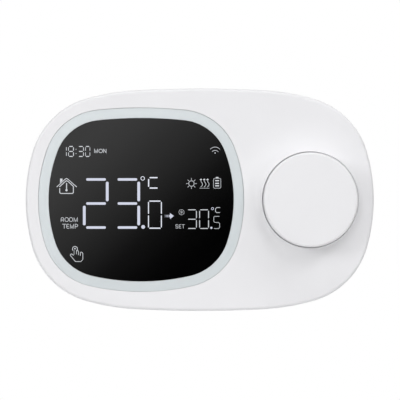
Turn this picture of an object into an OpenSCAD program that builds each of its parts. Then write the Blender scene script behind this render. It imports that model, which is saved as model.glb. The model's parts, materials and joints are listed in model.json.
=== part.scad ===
// Battery-powered wall thermostat: a moulded unit that hangs on a wall plate,
// with a black display window in a pale light ring and a push-and-turn knob.
// Frame: +Z up, the wall is the plane y = 0, the front looks along -Y.
// Inside each module the drawing plane is the front view (x right, y up)
// and z is the height out of the wall; out() turns that into the frame above.

/* [Unit] */
// Overall width of the unit
body_w = 139.6; // [138:0.1:146]
// Overall height of the unit
body_h = 89.2; // [88:0.2:94]
// Height of the flat front face above the wall
body_d = 25; // [25:0.5:28]
// Wall thickness of the two shells
shell = 1.8; // [1.6:0.1:2]
// Height of the parting line between the shells above the wall
split = 13; // [12.5:0.1:13.5]
// Radius of the rounded front edge
edge_r = 1.2; // [1:0.1:2]

/* [Display window] */
// Width of the black window
window_w = 74.2; // [72:0.2:75]
// Height of the black window
window_h = 65.5; // [63:0.1:66]
// Centre of the window, from the middle of the unit
window_x = -23.5; // [-24:0.1:-23]
// Visible width of the light ring round the window
ring_w = 4.1; // [3:0.1:4.6]

/* [Knob] */
// Diameter of the knob
knob_d = 38; // [36:0.5:39]
// Centre of the knob, from the middle of the unit
knob_x = 44.4; // [44:0.1:44.8]
// Height of the knob above the flat front face
knob_h = 9.5; // [9:0.1:11]
// Height of the flared seat that rises to the knob
flare_h = 2.9; // [2:0.1:3]
// Radius at which the flared seat starts to rise
flare_r = 35; // [32:0.5:36]
// Travel of the knob when it is pressed
press = 0.5; // [0.3:0.1:0.5]

/* [Wall plate] */
// Distance between wall screws, the standard flush box spacing
box_pitch = 60; // [60:0.1:60.3]
// Width of the slotted screw holes
slot_w = 4.4; // [4:0.1:4.6]
// Length of the slotted screw holes
slot_l = 7; // [6:0.1:7]
// Distance the unit is lifted to come off the hooks
lift = 5; // [4:0.1:5]

/* [Cells] */
// Diameter of an AAA cell
cell_d = 10.5; // [10.3:0.1:10.5]
// Length of an AAA cell with its button
cell_l = 44.5; // [44:0.1:44.5]

/* [Hidden] */
$fn = 48;
e = 0.02;

white = [0.93, 0.93, 0.935];
ring_grey = [0.86, 0.89, 0.90];
face = body_d;                 // flat front face
ceiling = face - shell;        // inside of the front skin
board_f = face - 6.8;          // front of the circuit board
board_b = board_f - 1.6;       // back of the circuit board
knob_top = face + knob_h;
rim = face + flare_h;          // top of the flared seat
well_r = knob_d / 2 + 0.25;    // the well the knob's skirt runs in
plate_t = 2.6;
back_0 = 3.0;                  // back wall of the unit
back_1 = 4.6;
bay_x = [-37, 13];             // inside of the battery bay
bay_y = 11.1;
cell_z = 3.25 + cell_d / 2;
bay_top = 14;
cell_y = 5.6;
posts = [[21, 33.5], [21, -33.5], [56, 25.5], [56, -25.5]];
board_posts = [[-61.2, 8], [18, 22], [18, -22], [60.5, 0]];
hook_x = 50;
hook_y = [15, -11];

// ---- outlines: tangent arcs, [radius, degrees, steps], from top centre to the side
function arc_pts(x, y, h, r, a, n) =
    [for (k = [1:n]) let (d = a * k / n)
        [x + r * (sin(h + d) - sin(h)), y - r * (cos(h) - cos(h + d)), h + d]];
function walk(arcs, i = 0, x = 0, y = 0, h = 0) = i >= len(arcs) ? [] :
    let (s = arc_pts(x, y, h, arcs[i][0], arcs[i][1], arcs[i][2]), t = s[len(s) - 1])
        concat(s, walk(arcs, i + 1, t[0], t[1], t[2]));
// one quarter, scaled to reach exactly a wide and b high: [x, y, normal x, normal y]
function quarter(arcs, a, b) =
    let (q = concat([[0, 0, 0]], walk(arcs)), t = q[len(q) - 1], sx = a / t[0], sy = -b / t[1])
        [for (p = q) let (u = sin(p[2]) / sx, v = cos(p[2]) / sy, m = sqrt(u * u + v * v))
            [p[0] * sx, (p[1] - t[1]) * sy, u / m, v / m]];
function oval(top, low, cx, a, b) =
    let (t = quarter(top, a, b), l = quarter(low, a, b), n = len(t) - 1, m = len(l) - 1,
        r = concat([for (i = [0:n - 1]) t[i]],
            [for (i = [m:-1:1]) [l[i][0], -l[i][1], l[i][2], -l[i][3]]],
            [for (i = [0:m - 1]) [-l[i][0], -l[i][1], -l[i][2], -l[i][3]]],
            [for (i = [n:-1:1]) [-t[i][0], t[i][1], -t[i][2], t[i][3]]]))
        [for (p = r) [p[0] + cx, p[1], p[2], p[3]]];
function inset(o, d) = [for (p = o) [p[0] - d * p[2], p[1] - d * p[3], p[2], p[3]]];

body_arcs = [[474, 3.1, 3], [90, 13, 5], [31, 57.8, 12], [69.5, 16.1, 4]];
window_top = [[164, 6.1, 4], [19.4, 63.3, 14], [55.4, 20.6, 6]];
window_low = [[88.5, 12.9, 4], [20.3, 59.4, 14], [55.4, 17.7, 6]];
body_o = oval(body_arcs, body_arcs, 0, body_w / 2, body_h / 2);
window_o = oval(window_top, window_low, window_x, window_w / 2, window_h / 2);
ring_mid = inset(window_o, -ring_w / 2);

// ---- helpers
module out() rotate([90, 0, 0]) children();
module slab(o, z0, z1) translate([0, 0, z0]) linear_extrude(z1 - z0) polygon([for (p = o) [p[0], p[1]]]);
module box(x, y, z) translate([x[0], y[0], z[0]]) cube([x[1] - x[0], y[1] - y[0], z[1] - z[0]]);
module rod(x, y, r, z0, z1) translate([x, y, z0]) cylinder(r = r, h = z1 - z0);
// closed skin through a stack of outlines, lowest first: [outline, height]
module loft(rings) {
    n = len(rings[0][0]);
    m = len(rings);
    polyhedron(points = [for (r = rings) for (p = r[0]) [p[0], p[1], r[1]]],
        faces = concat([[for (j = [n - 1:-1:0]) j]],
            [for (i = [0:m - 2]) for (j = [0:n - 1])
                [i * n + j, i * n + (j + 1) % n, (i + 1) * n + (j + 1) % n, (i + 1) * n + j]],
            [[for (j = [0:n - 1]) (m - 1) * n + j]]));
}
// wire wound along +Z from radius r0 to r1
module coil(r0, r1, pitch, turns, wire, seg = 16, sides = 6) {
    n = turns * seg;
    pts = [for (i = [0:n]) let (a = 360 * i / seg, r = r0 + (r1 - r0) * i / n)
        for (j = [0:sides - 1]) let (b = 360 * j / sides)
            [(r + wire * cos(b)) * cos(a), (r + wire * cos(b)) * sin(a), pitch * i / seg + wire * sin(b)]];
    polyhedron(points = pts,
        faces = concat([[for (j = [sides - 1:-1:0]) j]],
            [for (i = [0:n - 1]) for (j = [0:sides - 1])
                [i * sides + j, i * sides + (j + 1) % sides, (i + 1) * sides + (j + 1) % sides, (i + 1) * sides + j]],
            [[for (j = [0:sides - 1]) n * sides + j]]));
}
// slotted hole, long way along x or turned upright
module slot(r, len, z0, z1) {
    for (s = [-1, 1]) rod(s * (len / 2 - r), 0, r, z0, z1);
    box([-(len / 2 - r), len / 2 - r], [-r, r], [z0, z1]);
}
// small flat-topped screw with a cross recess, head down at z = 0, shank up
module screw(head_r, head_h, shank_r, l) {
    difference() {
        union() {
            rod(0, 0, head_r, -head_h, 0);
            rod(0, 0, shank_r, -e, l);
        }
        box([-head_r * 0.6, head_r * 0.6], [-0.25, 0.25], [-head_h - 1, -head_h + 0.7]);
        box([-0.25, 0.25], [-head_r * 0.6, head_r * 0.6], [-head_h - 1, -head_h + 0.7]);
    }
}

// ---- wall side
module wall_plate() color(white) out() {
    difference() {
        slab(inset(body_o, 7.8), 0, plate_t);
        for (s = [-1, 1]) {
            translate([s * box_pitch / 2, 0, 0]) { slot(slot_w / 2, slot_l, -1, 4); slot(4, slot_l + 8 - slot_w, 1.2, 4); }
            translate([0, s * box_pitch / 2, 0]) rotate([0, 0, 90]) { slot(slot_w / 2, slot_l, -1, 4); slot(4, slot_l + 8 - slot_w, 1.2, 4); }
        }
        // recesses between the ribs of the back face
        difference() {
            slab(inset(body_o, 10.8), -1, 1);
            box([-80, 80], [-1.5, 1.5], [-2, 2]);
            box([-1.5, 1.5], [-60, 60], [-2, 2]);
            rod(0, 0, 11, -2, 2);
            for (s = [-1, 1]) {
                rod(s * box_pitch / 2, 0, 8, -2, 2);
                rod(0, s * box_pitch / 2, 8, -2, 2);
                for (y = hook_y) rod(s * hook_x, y - 1, 5, -2, 2);
                for (t = [-1, 1]) translate([s * 30, t * 17, 0]) rotate([0, 0, s * t * 40]) box([-40, 40], [-1, 1], [-2, 2]);
            }
        }
        // arrow that shows which way is up, cut into the middle pad
        translate([0, 0, -1]) linear_extrude(1.5) polygon([[-2.6, 5.6], [2.6, 5.6], [0, 9.6]]);
        box([-0.8, 0.8], [2.6, 5.7], [-1, 0.5]);
        // level marks
        for (s = [-1, 1]) translate([s * (body_w / 2 - 7.8), 0, 1.6]) rotate([0, 0, 45]) cube([1.6, 1.6, 3], center = true);
    }
    for (s = [-1, 1]) for (y = hook_y) {
        box([s * hook_x - 1.6, s * hook_x + 1.6], [y - 2, y - e], [plate_t - e, 6.4]);
        box([s * hook_x - 1.6, s * hook_x + 1.6], [y - 2, y + 3.2], [back_1 + 0.3, 6.4]);
    }
}

// ---- shells
module rear_housing() color(white) out() difference() {
    union() {
        difference() {
            loft([[inset(body_o, 1.2), 0.8], [inset(body_o, 0.35), 1.15], [body_o, 2], [body_o, split]]);
            slab(inset(body_o, 2.2), 0, back_0);
            slab(inset(body_o, shell), back_1, split + 1);
            // vents in the lower and upper walls
            for (s = [-1, 1]) for (i = [-4:4]) box([i * 3.6 - 0.8, i * 3.6 + 0.8], s > 0 ? [40, 46] : [-46, -40], [6, 11]);
        }
        // lip that lines up the front shell
        difference() {
            slab(inset(body_o, shell - 0.1), split - 2.5, split);
            slab(inset(body_o, shell + 1), split - 3, split + 1);
        }
        difference() {
            slab(inset(body_o, shell + 0.1), split - 1, split + 1.2);
            slab(inset(body_o, shell + 1), split - 3, split + 2);
        }
        box([bay_x[0] - 1.2, bay_x[1] + 1.2], [-bay_y - 1.2, bay_y + 1.2], [back_1 - e, bay_top + 1.2]);
        for (p = posts) rod(p[0], p[1], 3.2, back_1 - e, split + 1.4);
        for (p = board_posts) rod(p[0], p[1], 2.8, back_1 - e, board_b);
    }
    box(bay_x, [-bay_y, bay_y], [0, bay_top]);
    for (p = posts) { rod(p[0], p[1], 1.25, 2, split + 2); rod(p[0], p[1], 2.4, 2, 8); }
    for (p = board_posts) rod(p[0], p[1], 0.92, 9, board_b + 1);
    for (s = [-1, 1]) for (y = hook_y) box([s * hook_x - 1.9, s * hook_x + 1.9], [y - 2 - lift - 0.4, y], [2, back_1 + 1]);
    // slots for the contacts' tails
    for (x = [[bay_x[0] + 0.05, bay_x[0] + 0.65]]) for (s = [-1, 1]) box(x, [s * cell_y - 1.2, s * cell_y + 1.2], [bay_top - 1, bay_top + 2]);
    // notches in the lip for the front shell's snap tabs
    for (s = [-1, 1]) box([window_x - 4.6, window_x + 4.6], s > 0 ? [38, 42.1] : [-42.1, -38], [split - 3.2, split + 2]);
    box([-67.6, -64], [-4.6, 4.6], [split - 3.2, split + 2]);
}

// height of the flared seat over the flat front at distance r from the knob's axis
function flare_at(r) = let (u = min(1, max(0, (flare_r - r) / (flare_r - well_r))))
    flare_h * (0.8 * pow(u, 3) + 0.2 * pow(u, 8));
function to_knob(p) = norm([p[0] - knob_x, p[1]]);
// front skin: parting line, side, rounded edge, then straight in towards the knob's seat
module front_skin() {
    seat = well_r + 0.15;
    edge = [for (a = [0, 22.5, 45, 67.5, 90]) [edge_r * (1 - cos(a)), edge_r * (1 - sin(a))]];
    inner = inset(body_o, edge_r);
    rings = concat(
        [[for (p = body_o) [p[0], p[1], split]]],
        [for (q = edge) [for (p = inset(body_o, q[0])) [p[0], p[1], face + flare_at(to_knob(p)) - q[1]]]],
        [for (k = [8:-1:0]) [for (p = inner)
            let (l = to_knob(p), r = seat + min(0.9 * (l - seat), flare_r - seat) * k / 8)
                [knob_x + (p[0] - knob_x) * r / l, p[1] * r / l, face + flare_at(max(r, well_r))]]]);
    n = len(body_o);
    m = len(rings);
    polyhedron(points = [for (r = rings) for (p = r) p],
        faces = concat([[for (j = [n - 1:-1:0]) j]],
            [for (i = [0:m - 2]) for (j = [0:n - 1]) [i * n + j, i * n + (j + 1) % n, (i + 1) * n + j]],
            [for (i = [0:m - 2]) for (j = [0:n - 1]) [i * n + (j + 1) % n, (i + 1) * n + (j + 1) % n, (i + 1) * n + j]],
            [[for (j = [0:n - 1]) (m - 1) * n + j]]));
}

module front_cover() color(white) out() difference() {
    union() {
        difference() {
            front_skin();
            slab(inset(body_o, shell), split - 1, ceiling);
        }
        for (p = posts) rod(p[0], p[1], 3, split + 1.5, ceiling + 0.5);
        // snap tabs on the display side, each with a catch that grips under the lip
        for (s = [-1, 1]) box([window_x - 4, window_x + 4], s > 0 ? [40, 41.2] : [-41.2, -40], [split - 3.5, ceiling + 0.5]);
        for (s = [-1, 1]) box([window_x - 4, window_x + 4], s > 0 ? [41, 41.9] : [-41.9, -41], [split - 3, split + 0.6]);
        box([-66.7, -65.5], [-4, 4], [split - 3.5, ceiling + 0.5]);
        box([-67.4, -66.5], [-4, 4], [split - 3, split + 0.6]);
    }
    slab(inset(window_o, -ring_w - 0.1), ceiling - 1, face + 2);
    translate([knob_x, 0, 0]) {
        rod(0, 0, well_r, face + 1.4, rim + 1);
        rod(0, 0, 17.6, ceiling - 1, face - 0.4);
        rod(0, 0, 9.5, ceiling - 1, rim + 1);
    }
    for (p = posts) rod(p[0], p[1], 1.12, split, ceiling - 1.2);
}

module light_ring() color(ring_grey) out() difference() {
    union() {
        slab(inset(window_o, -ring_w), ceiling - 0.5, face);
        difference() {
            slab(inset(window_o, -ring_w - 1.3), ceiling - 1, ceiling);
            box([-67.5, -65], [-4.6, 4.6], [ceiling - 2, ceiling + 1]);
            for (s = [-1, 1]) box([window_x - 4.6, window_x + 4.6], s > 0 ? [39.6, 43] : [-43, -39.6], [ceiling - 2, ceiling + 1]);
        }
        // light pipes down to the ring's LEDs
        for (k = [0:7]) rod(ring_mid[12 * k][0], ring_mid[12 * k][1], 1.4, board_f + 1.3, ceiling - 0.5);
    }
    slab(inset(window_o, -0.05), ceiling, face + 1);
    slab(inset(window_o, 2), ceiling - 2, face + 1);
}

module display_lens() color([0.03, 0.03, 0.035]) out() slab(window_o, ceiling + 0.2, face);

module lens_tape() color([0.1, 0.1, 0.1]) out() difference() {
    slab(inset(window_o, 0.1), ceiling, ceiling + 0.2);
    slab(inset(window_o, 1.9), ceiling - 1, ceiling + 1);
}

// ---- display stack
lcd = [[window_x - 34.5, window_x + 34.5], [-27.5, 26.5]];
module lcd_shape(d, z0, z1) intersection() {
    slab(inset(window_o, 3 + d), z0, z1);
    box([lcd[0][0] + d, lcd[0][1] - d], [lcd[1][0] + d, lcd[1][1] - d], [z0 - 1, z1 + 1]);
}
module lcd_panel() color([0.16, 0.18, 0.2]) out() lcd_shape(0, board_f + 2.3, board_f + 3.9);
module lcd_backlight() color([0.95, 0.96, 1]) out() intersection() {
    lcd_shape(0.3, board_f + 0.8, board_f + 2.2);
    box([lcd[0][0] + 2.6, lcd[0][1]], [lcd[1][0], lcd[1][1] - 3], [0, 40]);
}
module display_frame() color([0.9, 0.9, 0.88]) out() {
    difference() {
        lcd_shape(-1, board_f + 0.02, board_f + 3.6);
        lcd_shape(-0.1, board_f + 0.8, board_f + 5);
        box([lcd[0][0] + 1.3, lcd[0][0] + 2.5], [-11.5, 11.5], [0, 40]);
        box([window_x - 21, window_x + 21], [lcd[1][1] - 2.8, lcd[1][1] - 0.6], [0, 40]);
    }
    for (s = [-1, 1]) for (t = [-1, 1]) rod(window_x + s * 27, t * 18, 0.9, board_b - 0.6, board_f + 0.1);
}
module lcd_connector() color([0.75, 0.2, 0.2]) out()
    box([window_x - 20, window_x + 20], [lcd[1][1] - 2.6, lcd[1][1] - 0.8], [board_f, board_f + 2.3]);

// ---- board and its parts
module main_board() color([0.05, 0.35, 0.2]) out() difference() {
    slab(inset(body_o, 5.2), board_b, board_f);
    for (p = posts) rod(p[0], p[1], 3.9, 0, 40);
    for (p = board_posts) rod(p[0], p[1], 1.1, 0, 40);
    for (s = [-1, 1]) for (t = [-1, 1]) rod(window_x + s * 27, t * 18, 1, 0, 40);
    for (s = [-1, 1]) box([bay_x[0], bay_x[0] + 0.8], [s * cell_y - 1.2, s * cell_y + 1.2], [0, 40]);
    // encoder pins and lugs
    for (i = [-1:1]) rod(knob_x + i * 2.5, -7.2, 0.5, 0, 40);
    for (s = [-1, 1]) { rod(knob_x + s * 2.5, 7.2, 0.5, 0, 40); box([knob_x + s * 6.7 - 0.5, knob_x + s * 6.7 + 0.5], [-1.2, 1.2], [0, 40]); }
    for (s = [-1, 1]) rod(-4 + s * 0.6, -35, 0.35, 0, 40);
}
module controller_chip() color([0.08, 0.08, 0.08]) out() {
    box([-13, -3], [19.5, 29.5], [board_b - 1.6, board_b - 0.1]);
    for (i = [0:7]) {
        box([-12.2 + i * 1.2 - 0.2, -12.2 + i * 1.2 + 0.2], [18.4, 30.6], [board_b - 0.6, board_b]);
        box([-14.1, -1.9], [20.3 + i * 1.2 - 0.2, 20.3 + i * 1.2 + 0.2], [board_b - 0.6, board_b]);
    }
}
module radio_module() color([0.7, 0.7, 0.72]) out() {
    box([28, 46], [-29, -15], [board_b - 0.8, board_b]);
    box([29, 41], [-28, -16], [board_b - 2.6, board_b - 0.7]);
}
module antenna_coil() color([0.85, 0.65, 0.3]) out() {
    translate([30, -33.4, board_b - 3.4]) rotate([0, 90, 0]) coil(2.2, 2.2, 1.9, 6, 0.35, 12);
    box([29.7, 30.3], [-31.4, -31.0], [board_b - 3.4, board_b]);
}
module temperature_sensor() color([0.1, 0.1, 0.12]) out() {
    translate([-4, -35, 9]) sphere(r = 1.4);
    for (s = [-1, 1]) rod(-4 + s * 0.6, -35, 0.25, 9, board_f);
}
module crystal() color([0.75, 0.75, 0.75]) out() box([4, 9], [20, 23.2], [board_b - 1.2, board_b]);
module power_inductor() color([0.2, 0.2, 0.2]) out() {
    box([-33, -27], [19, 25], [board_b - 0.6, board_b]);
    rod(-30, 22, 3, board_b - 3, board_b - 0.5);
}
module reservoir_capacitors() color([0.25, 0.3, 0.45]) out() for (y = [18, 27]) {
    rod(-44, y, 3.15, board_b - 5.8, board_b - 0.4);
    box([-47.3, -40.7], [y - 3.3, y + 3.3], [board_b - 0.8, board_b]);
}
module ring_leds() color([1, 1, 0.85]) out() for (k = [0:7]) let (p = ring_mid[12 * k])
    box([p[0] - 1.2, p[0] + 1.2], [p[1] - 0.8, p[1] + 0.8], [board_f, board_f + 0.8]);
module backlight_leds() color([1, 1, 0.85]) out() for (y = [-9, 0, 9])
    box([lcd[0][0] + 1.4, lcd[0][0] + 2.4], [y - 1.9, y + 1.9], [board_f, board_f + 1.4]);

// ---- cells and contacts
module cell() color([0.3, 0.32, 0.35]) rotate([0, 90, 0]) {
    cylinder(r = cell_d / 2, h = cell_l - 1);
    translate([0, 0, cell_l - 1 - e]) cylinder(r = 1.9, h = 1 + e);
}
module battery_upper() out() translate([bay_x[0] + 3.8, cell_y, cell_z]) cell();
module battery_lower() out() translate([bay_x[1] - 3.8, -cell_y, cell_z]) rotate([0, 0, 180]) cell();
module contact_plate(y) {
    box([bay_x[0] + 0.1, bay_x[0] + 0.5], [y - 4.6, y + 4.6], [4, bay_top - 0.3]);
    box([bay_x[0] + 0.1, bay_x[0] + 0.5], [y - 1, y + 1], [bay_top - 0.5, board_f]);
}
module contact_spring() color("silver") out() {
    contact_plate(cell_y);
    translate([bay_x[0] + 0.7, cell_y, cell_z]) rotate([0, 90, 0]) coil(3.6, 2, 1, 2.5, 0.3, 16);
}
module contact_flat() color("silver") out() {
    contact_plate(-cell_y);
    translate([bay_x[0] + 0.4, -cell_y, cell_z]) rotate([0, 90, 0]) cylinder(r = 2.4, h = bay_x[1] - 3.8 - cell_l - bay_x[0] - 0.45);
}
module contact_link() color("silver") out() {
    box([bay_x[1] - 0.5, bay_x[1] - 0.1], [-cell_y - 4.6, cell_y + 4.6], [4, bay_top - 0.3]);
    translate([bay_x[0] + 3.85 + cell_l, cell_y, cell_z]) rotate([0, 90, 0]) cylinder(r = 2.4, h = bay_x[1] - bay_x[0] - cell_l - 4.2);
    translate([bay_x[1] - 0.7, -cell_y, cell_z]) rotate([0, -90, 0]) coil(3.6, 2, 1, 2.5, 0.3, 16);
}

// ---- push-and-turn encoder
module at_knob() out() translate([knob_x, 0, 0]) children();
module encoder_base() color([0.1, 0.1, 0.1]) at_knob() {
    difference() {
        box([-6.2, 6.2], [-6.6, 6.6], [board_f, board_f + 1.6]);
        rod(0, 0, 2.6, board_f + 0.3, board_f + 3);
        rod(0, 0, 3.3, board_f + 0.9, board_f + 3);
    }
    for (i = [-1:1]) { rod(i * 2.5, -7.2, 0.42, board_b - 0.8, board_f + 0.9); box([i * 2.5 - 0.4, i * 2.5 + 0.4], [-7.3, -6.5], [board_f + 0.2, board_f + 0.9]); }
    for (s = [-1, 1]) { rod(s * 2.5, 7.2, 0.42, board_b - 0.8, board_f + 0.9); box([s * 2.5 - 0.4, s * 2.5 + 0.4], [6.5, 7.3], [board_f + 0.2, board_f + 0.9]); }
}
module encoder_bracket() color([0.75, 0.75, 0.75]) at_knob() difference() {
    union() {
        box([-6.2, 6.2], [-6.6, 6.6], [board_f + 1.6, board_f + 4.5]);
        for (s = [-1, 1]) {
            box([s * 6.7 - 0.3, s * 6.7 + 0.3], [-3, 3], [board_f + 0.2, board_f + 4.5]);
            box([s * 6.7 - 0.3, s * 6.7 + 0.3], [-1, 1], [board_b - 0.8, board_f + 0.3]);
            box([s * 6.4 - 0.5, s * 6.4 + 0.5], [-3, 3], [board_f + 3.9, board_f + 4.5]);
        }
        rod(0, 0, 3.5, board_f + 4.4, board_f + 9.5);
        for (k = [0:4]) rod(0, 0, 3.7, board_f + 5.2 + k * 0.8, board_f + 5.6 + k * 0.8);
    }
    rod(0, 0, 5.4, board_f + 1, board_f + 3.9);
    rod(0, 0, 3.04, board_f + 3, board_f + 10);
}
module detent_spring() color([0.8, 0.75, 0.6]) at_knob() {
    difference() { rod(0, 0, 5.3, board_f + 3.65, board_f + 3.88); rod(0, 0, 3.7, board_f + 3, board_f + 5); }
    for (s = [-1, 1]) rod(s * 4.5, 0, 0.4, board_f + 3.4, board_f + 3.7);
}
module switch_dome() color([0.8, 0.8, 0.8]) at_knob() rod(0, 0, 2.4, board_f + 0.3, board_f + 0.42);
module switch_plunger() color([0.85, 0.85, 0.8]) at_knob() {
    rod(0, 0, 2.3, board_f + 0.95, board_f + 1.3);
    rod(0, 0, 1.6, board_f + 1.2, board_f + 1.5);
}
module encoder_rotor() color([0.9, 0.9, 0.85]) at_knob() difference() {
    rod(0, 0, 5, board_f + 2.2, board_f + 3.3);
    rod(0, 0, 3.02, board_f + 2, board_f + 4);
    for (k = [0:19]) rotate([0, 0, 18 * k]) rod(5, 0, 0.35, board_f + 2, board_f + 4);
}
module encoder_shaft() color([0.8, 0.8, 0.8]) at_knob() difference() {
    rod(0, 0, 3, board_f + 1.5, knob_top - 1.9);
    box([-4, 4], [1.5, 4], [board_f + 9.8, knob_top]);
}

// ---- knob
module knob_cap() color(white) at_knob() difference() {
    union() {
        difference() {
            rotate_extrude($fn = 96) polygon(concat([[0, rim - 0.5], [knob_d / 2, rim - 0.5]],
                [for (k = [0:6]) let (a = 15 * k) [knob_d / 2 - 1 + cos(a), knob_top - 1 + sin(a)]], [[0, knob_top]]));
            rod(0, 0, knob_d / 2 - 1.5, rim - 2, knob_top - 1.6);
        }
        for (k = [0:5]) rotate([0, 0, 30 + 60 * k]) box([7.9, knob_d / 2 - 1], [-0.5, 0.5], [rim + 1.4, knob_top - 1.5]);
        rod(0, 0, 8.9, knob_top - 3.4, knob_top - 1.5);
    }
    rod(0, 0, 7.9, rim - 2, knob_top - 1.6);
}
module knob_hub() color([0.85, 0.85, 0.86]) at_knob() difference() {
    union() {
        rod(0, 0, 5.4, board_f + 9.8, knob_top - 1.7);
        rod(0, 0, 7.85, knob_top - 2.6, knob_top - 1.6);
    }
    // D-shaped bore for the shaft, and clearance round the bushing
    difference() {
        rod(0, 0, 3.02, 0, knob_top - 1.85);
        box([-4, 4], [1.52, 4], [0, 60]);
    }
    rod(0, 0, 4.1, board_f + 9, board_f + 10.8);
    for (s = [-1, 1]) box([-0.4, 0.4], [s * 4.5 - 1.6, s * 4.5 + 1.6], [board_f + 9, board_f + 12.4]);
}
module hub_spring() color("silver") at_knob() difference() {
    rod(0, 0, 5.8, board_f + 10.6, board_f + 12.4);
    rod(0, 0, 5.42, board_f + 10, board_f + 13);
    box([-1.5, 1.5], [3, 7], [board_f + 10, board_f + 13]);
}

// ---- fasteners
module board_screws() color("silver") out() for (p = board_posts)
    translate([p[0], p[1], board_f]) mirror([0, 0, 1]) screw(1.9, 1.3, 0.9, 7);
module housing_screws() color("silver") out() for (p = posts)
    translate([p[0], p[1], 8]) screw(2.1, 1.6, 1.1, 12);

wall_plate();
rear_housing();
front_cover();
light_ring();
display_lens();
lens_tape();
lcd_panel();
lcd_backlight();
display_frame();
lcd_connector();
main_board();
controller_chip();
radio_module();
antenna_coil();
temperature_sensor();
crystal();
power_inductor();
reservoir_capacitors();
ring_leds();
backlight_leds();
battery_upper();
battery_lower();
contact_spring();
contact_flat();
contact_link();
encoder_base();
encoder_bracket();
detent_spring();
switch_dome();
switch_plunger();
encoder_rotor();
encoder_shaft();
knob_cap();
knob_hub();
hub_spring();
board_screws();
housing_screws();
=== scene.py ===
import json
import math

import bpy
import numpy as np
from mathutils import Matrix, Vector
from mathutils.geometry import delaunay_2d_cdt


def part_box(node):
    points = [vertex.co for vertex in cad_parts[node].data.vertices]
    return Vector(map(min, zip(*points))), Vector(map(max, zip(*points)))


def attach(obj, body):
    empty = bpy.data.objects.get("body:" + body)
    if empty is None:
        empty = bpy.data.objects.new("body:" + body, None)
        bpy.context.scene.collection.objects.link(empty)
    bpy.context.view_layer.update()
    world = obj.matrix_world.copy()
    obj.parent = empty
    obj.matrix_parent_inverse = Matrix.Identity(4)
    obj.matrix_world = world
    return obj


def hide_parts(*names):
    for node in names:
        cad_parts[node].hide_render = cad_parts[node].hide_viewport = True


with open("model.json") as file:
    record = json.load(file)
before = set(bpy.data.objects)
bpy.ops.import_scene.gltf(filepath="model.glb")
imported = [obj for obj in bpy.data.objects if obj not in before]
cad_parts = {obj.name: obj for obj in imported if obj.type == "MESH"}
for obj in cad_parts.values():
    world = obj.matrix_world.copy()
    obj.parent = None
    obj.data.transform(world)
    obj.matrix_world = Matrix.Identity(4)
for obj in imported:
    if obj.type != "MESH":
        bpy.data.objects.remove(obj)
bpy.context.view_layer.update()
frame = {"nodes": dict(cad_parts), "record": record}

# Shapes below are drawn in millimetres in the front view: x right, y up, z out of the wall.
# The wall is z = 0. put() turns a point into the row frame, in metres.
MM = 0.001
NODES = frame["nodes"]


def put(p):
    return (p[0] * MM, -p[2] * MM, p[1] * MM)


def span(node):
    """A CAD node's box in front-view millimetres: (x0, x1), (y0, y1), (z0, z1)."""
    lo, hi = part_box(node)
    return (lo.x / MM, hi.x / MM), (lo.z / MM, hi.z / MM), (-hi.y / MM, -lo.y / MM)


# ---------------------------------------------------------------- sizes
(body_x0, body_x1), (body_y0, body_y1), (rear_z0, _) = span("rear_housing")
(lens_x0, lens_x1), (lens_y0, lens_y1), (lens_z0, lens_z1) = span("display_lens")
(knob_x0, knob_x1), (knob_y0, knob_y1), (knob_z0, knob_z1) = span("knob_cap")
BODY_A, BODY_B = (body_x1 - body_x0) / 2, (body_y1 - body_y0) / 2
WIN_X, WIN_A, WIN_B = (lens_x0 + lens_x1) / 2, (lens_x1 - lens_x0) / 2, (lens_y1 - lens_y0) / 2
KX, KR = (knob_x0 + knob_x1) / 2, (knob_x1 - knob_x0) / 2
FACE = lens_z1                      # flat front face
SHELL = 1.8
CEIL = FACE - SHELL                 # inside of the front skin
SPLIT = 13.0                        # parting line of the two shells
EDGE = 1.2                          # rounded front edge
RING = 4.1                          # visible width of the light ring
SEAM = 0.22                         # small chamfer on both sides of the parting line
WELL = KR + 0.23                    # well the knob's skirt runs in
SEAT_X = KX - 0.08                  # play in the shaft leaves the gap wider on one side
FLARE_H, FLARE_R = 2.9, 35.0
WELL_Z = FACE + 1.4
POSTS = [(21, 33.5), (21, -33.5), (56, 25.5), (56, -25.5)]
BOARD_POSTS = [(-61.2, 8), (18, 22), (18, -22), (60.5, 0)]
BAY_X, BAY_Y, BAY_TOP = (-37.0, 13.0), 11.1, 14.0
HOOK_X, HOOK_Y = 50.0, (15.0, -11.0)
BACK_0, BACK_1 = 3.0, 4.6

BODY_ARCS = [(474, 3.1, 3), (90, 13, 5), (31, 57.8, 12), (69.5, 16.1, 4)]
WINDOW_TOP = [(164, 6.1, 4), (19.4, 63.3, 14), (55.4, 20.6, 6)]
WINDOW_LOW = [(88.5, 12.9, 4), (20.3, 59.4, 14), (55.4, 17.7, 6)]


# ---------------------------------------------------------------- outlines
def quarter(arcs, a, b, fine):
    """Tangent arcs (radius, degrees, steps) from top centre to the side, scaled to a wide and b high."""
    pts = [(0.0, 0.0, 0.0)]
    for r, turn, n in arcs:
        x, y, h = pts[-1]
        for k in range(1, n * fine + 1):
            g = h + math.radians(turn) * k / (n * fine)
            pts.append((x + r * (math.sin(g) - math.sin(h)), y - r * (math.cos(h) - math.cos(g)), g))
    tx, ty, _ = pts[-1]
    sx, sy = a / tx, -b / ty
    made = []
    for x, y, h in pts:
        u, v = math.sin(h) / sx, math.cos(h) / sy
        m = math.hypot(u, v)
        made.append((x * sx, (y - ty) * sy, u / m, v / m))
    return made


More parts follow.
